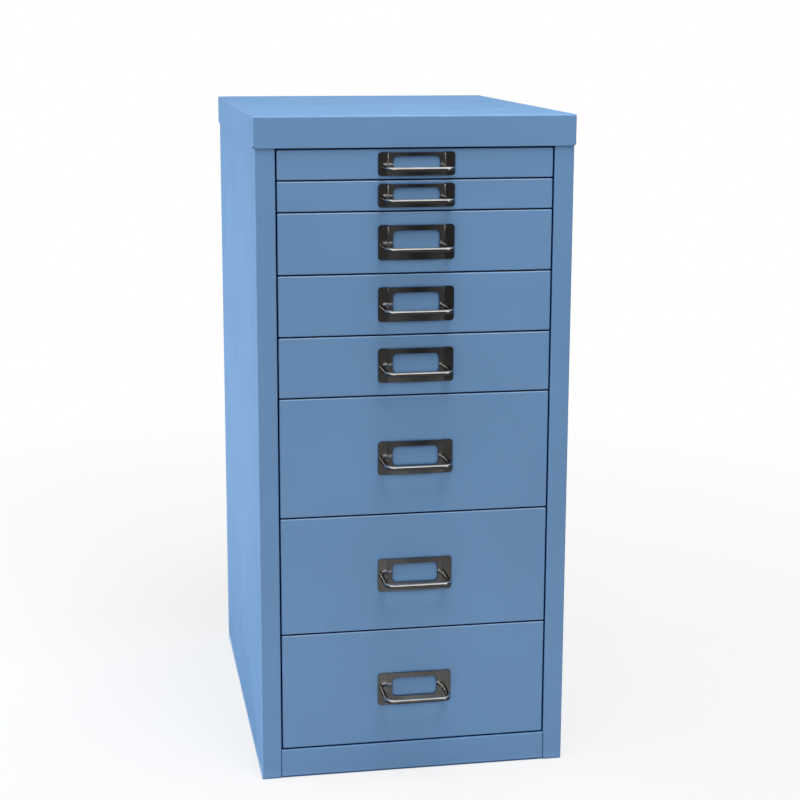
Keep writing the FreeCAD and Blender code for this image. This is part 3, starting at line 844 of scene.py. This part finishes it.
class CABINET_OT_rails(bpy.types.Operator):
    """Fold the cross rails between the stiles"""

    bl_idname = "cabinet.rails"
    bl_label = "Rails"

    def execute(self, context):
        sizes = settings("cabinet_sheets")
        sheet = sizes.case_sheet
        half = sheet / 2
        for node in ("bottom_rail", "top_rail"):
            low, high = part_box(node)
            path = [
                (high.y, low.z + half),
                (low.y + half, low.z + half),
                (low.y + half, high.z - half),
                (high.y, high.z - half),
            ]
            bm = bmesh.new()
            run_outline(bm, fold_outline(path, sheet, sizes.case_bend), "x", low.x, high.x)
            name = f"{node}_channel"
            piece = place_piece(name, closed_mesh(bm, name), "case", "case_paint",
                                "case_enamel", node)
            soften(piece, sizes.cut_edge)
        return {"FINISHED"}


class CABINET_OT_drawer_fronts(bpy.types.Operator):
    """Press the pan that fronts each drawer"""

    bl_idname = "cabinet.drawer_fronts"
    bl_label = "Drawer Fronts"

    def execute(self, context):
        sizes = settings("cabinet_sheets")
        for drawer in DRAWERS:
            low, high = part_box(f"{drawer}_front")
            name = f"{drawer}_front_pan"
            mesh = pan_mesh(name, low, high, Vector((0, 1, 0)), sizes.front_edge)
            piece = place_piece(name, mesh, drawer, "drawer_paint", "drawer_enamel",
                                f"{drawer}_front")
            thicken(piece, sizes.front_sheet)
            soften(piece, sizes.cut_edge)
        return {"FINISHED"}


class CABINET_OT_label_plates(bpy.types.Operator):
    """Press the label plate of each drawer, with its card pocket and window"""

    bl_idname = "cabinet.label_plates"
    bl_label = "Label Plates"

    def execute(self, context):
        trim = settings("cabinet_trim")
        for drawer in DRAWERS:
            low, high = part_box(f"{drawer}_label_plate")
            height, margin = TALL_WINDOW if high.z - low.z > TALL_PLATE else LOW_WINDOW
            top = high.z - margin
            window = ((-trim.window_width / 2, top - height), (trim.window_width / 2, top))
            name = f"{drawer}_plate_pressing"
            mesh = plate_mesh(name, low, high, window, trim)
            piece = place_piece(name, mesh, drawer, "bright_trim", "bright_plating",
                                f"{drawer}_label_plate")
            thicken(piece, trim.plate_sheet)
            soften(piece, trim.plate_edge, 3)
        return {"FINISHED"}


class CABINET_OT_pulls(bpy.types.Operator):
    """Bend the bow pull of each drawer and rivet its ends"""

    bl_idname = "cabinet.pulls"
    bl_label = "Pulls"

    def execute(self, context):
        trim = settings("cabinet_trim")
        radius = trim.rod / 2
        leg = trim.pull_centres / 2
        head = trim.rivet_head / 2
        dome = [(part * head, depth * MM) for part, depth in RIVET_PROFILE]
        for drawer in DRAWERS:
            low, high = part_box(f"{drawer}_pull")
            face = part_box(f"{drawer}_front")[0].y
            seat = face - trim.plate_sheet
            level = (low.z + high.z) / 2
            bar = low.y + radius
            path = [(-leg, seat), (-leg, bar), (leg, bar), (leg, seat)]
            stations = []
            for place, side in fold_line(path, trim.pull_bend, PULL_STEPS):
                run = Vector((side.y, -side.x, 0.0))
                stations.append((Vector((place.x, place.y, level)), run))
            bm = bmesh.new()
            sweep_bar(bm, stations, radius)
            for sign in (-1, 1):
                turn_round(bm, Vector((sign * leg, high.y, level)), dome)
            name = f"{drawer}_bow_pull"
            piece = place_piece(name, closed_mesh(bm, name), drawer, "bright_trim",
                                "bright_plating", f"{drawer}_pull")
            even_shading(piece)
        return {"FINISHED"}


class CABINET_OT_hidden_steel(bpy.types.Operator):
    """Paint the trays, runners, uprights and flat panels, which keep their solids"""

    bl_idname = "cabinet.hidden_steel"
    bl_label = "Trays and Runners"

    def execute(self, context):
        finishes = {"case_paint": "inner_enamel", "drawer_paint": "tray_enamel"}
        outside = {"back_panel", "base_panel"}
        slots = {row["node"]: row["material_slot"] for row in frame["record"]["subparts"]}
        for name, item in frame["nodes"].items():
            if slots[name] not in finishes:
                continue
            finish = "case_enamel" if name in outside else finishes[slots[name]]
            item.data.materials.clear()
            item.data.materials.append(bpy.data.materials[finish])
        return {"FINISHED"}


class CABINET_OT_studio(bpy.types.Operator):
    """Set up the white floor, the soft lamps, the dark tent and the camera"""

    bl_idname = "cabinet.studio"
    bl_label = "Studio"

    def execute(self, context):
        studio = settings("cabinet_studio")
        scene = context.scene
        scene.view_settings.view_transform = "Standard"
        self.lay_floor()
        self.light_room(scene, studio)
        for name, (size, place, target) in LAMPS.items():
            self.add_lamp(f"{name}_lamp", getattr(studio, name), size, Vector(place),
                          Vector(target))
        self.stand_flag()
        self.place_camera(scene, studio)
        return {"FINISHED"}

    def lay_floor(self):
        """The white floor, just under the cabinet."""
        bm = bmesh.new()
        bmesh.ops.create_grid(bm, x_segments=1, y_segments=1, size=FLOOR_HALF)
        bmesh.ops.translate(bm, vec=(0, 0, -FLOOR_DROP), verts=bm.verts)
        floor = add_object("studio_floor", mesh_of(bm, "studio_floor"))
        floor.data.materials.append(make_floor())

    def stand_flag(self):
        """A dark tent round the cabinet, open at the top, which only gloss shows."""
        flag = add_object("dark_flag", tent_mesh("dark_flag"))
        flag.data.materials.append(make_glowing_tent())
        flag.visible_camera = False
        flag.visible_diffuse = False
        flag.visible_shadow = False
        flag.visible_transmission = False

    def light_room(self, scene, studio):
        """A room that looks white and lights the cabinet faintly."""
        world = bpy.data.worlds.new("white_room")
        world.use_nodes = True
        nodes = Nodes(world.node_tree)
        strength = nodes.between(seen_directly(nodes), 0.0, 1.0, studio.sky, 1.0)
        nodes.surface(nodes.add("Background", {"Color": WHITE, "Strength": strength}), "World")
        scene.world = world

    def add_lamp(self, name, power, size, place, target):
        """A soft lamp that faces its target and doesn't show itself."""
        lamp = bpy.data.lights.new(name, "AREA")
        lamp.shape = "RECTANGLE"
        lamp.size, lamp.size_y = size
        lamp.energy = power
        item = add_object(name, lamp)
        item.location = place
        item.rotation_euler = (target - place).to_track_quat("-Z", "Y").to_euler()
        item.visible_camera = False
        item.visible_glossy = False

    def place_camera(self, scene, studio):
        """The camera, from its yaw, pitch and roll."""
        yaw, pitch, roll = CAMERA_YAW, CAMERA_PITCH, CAMERA_ROLL
        ahead = Vector((math.sin(yaw) * math.cos(pitch), math.cos(yaw) * math.cos(pitch),
                        -math.sin(pitch)))
        right = Vector((math.cos(yaw), -math.sin(yaw), 0))
        up = right.cross(ahead)
        right, up = (right * math.cos(roll) + up * math.sin(roll),
                     up * math.cos(roll) - right * math.sin(roll))
        data = bpy.data.cameras.new("studio_camera")
        data.sensor_width = SENSOR_WIDTH
        data.lens = studio.lens
        data.shift_y = CAMERA_SHIFT
        camera = add_object("studio_camera", data)
        turn = Matrix((right, up, -ahead)).transposed().to_4x4()
        camera.matrix_world = Matrix.Translation(CAMERA_PLACE) @ turn
        scene.camera = camera


class CABINET_PT_panel(bpy.types.Panel):
    """Lists the steps that dress the cabinet"""

    bl_idname = "CABINET_PT_panel"
    bl_label = "Multi-Drawer Cabinet"
    bl_space_type = "VIEW_3D"
    bl_region_type = "UI"
    bl_category = "Cabinet"

    def draw(self, context):
        for step in STEPS:
            self.layout.operator(step.bl_idname)


STEPS = (
    CABINET_OT_finishes,
    CABINET_OT_top_cap,
    CABINET_OT_side_walls,
    CABINET_OT_rails,
    CABINET_OT_drawer_fronts,
    CABINET_OT_label_plates,
    CABINET_OT_pulls,
    CABINET_OT_hidden_steel,
    CABINET_OT_studio,
)
GROUPS = {
    "cabinet_sheets": SheetSizes,
    "cabinet_trim": TrimSizes,
    "cabinet_paint": PaintFinish,
    "cabinet_plating": PlatingFinish,
    "cabinet_studio": StudioLight,
}


def register():
    for name, group in GROUPS.items():
        bpy.utils.register_class(group)
        setattr(bpy.types.Scene, name, PointerProperty(type=group))
    for item in (*STEPS, CABINET_PT_panel):
        bpy.utils.register_class(item)


def unregister():
    for item in (CABINET_PT_panel, *reversed(STEPS)):
        bpy.utils.unregister_class(item)
    for name, group in reversed(GROUPS.items()):
        delattr(bpy.types.Scene, name)
        bpy.utils.unregister_class(group)


def main():
    """Dress the cabinet step by step."""
    register()
    for step in STEPS:
        family, name = step.bl_idname.split(".")
        getattr(getattr(bpy.ops, family), name)()


if __name__ == "__main__":
    main()
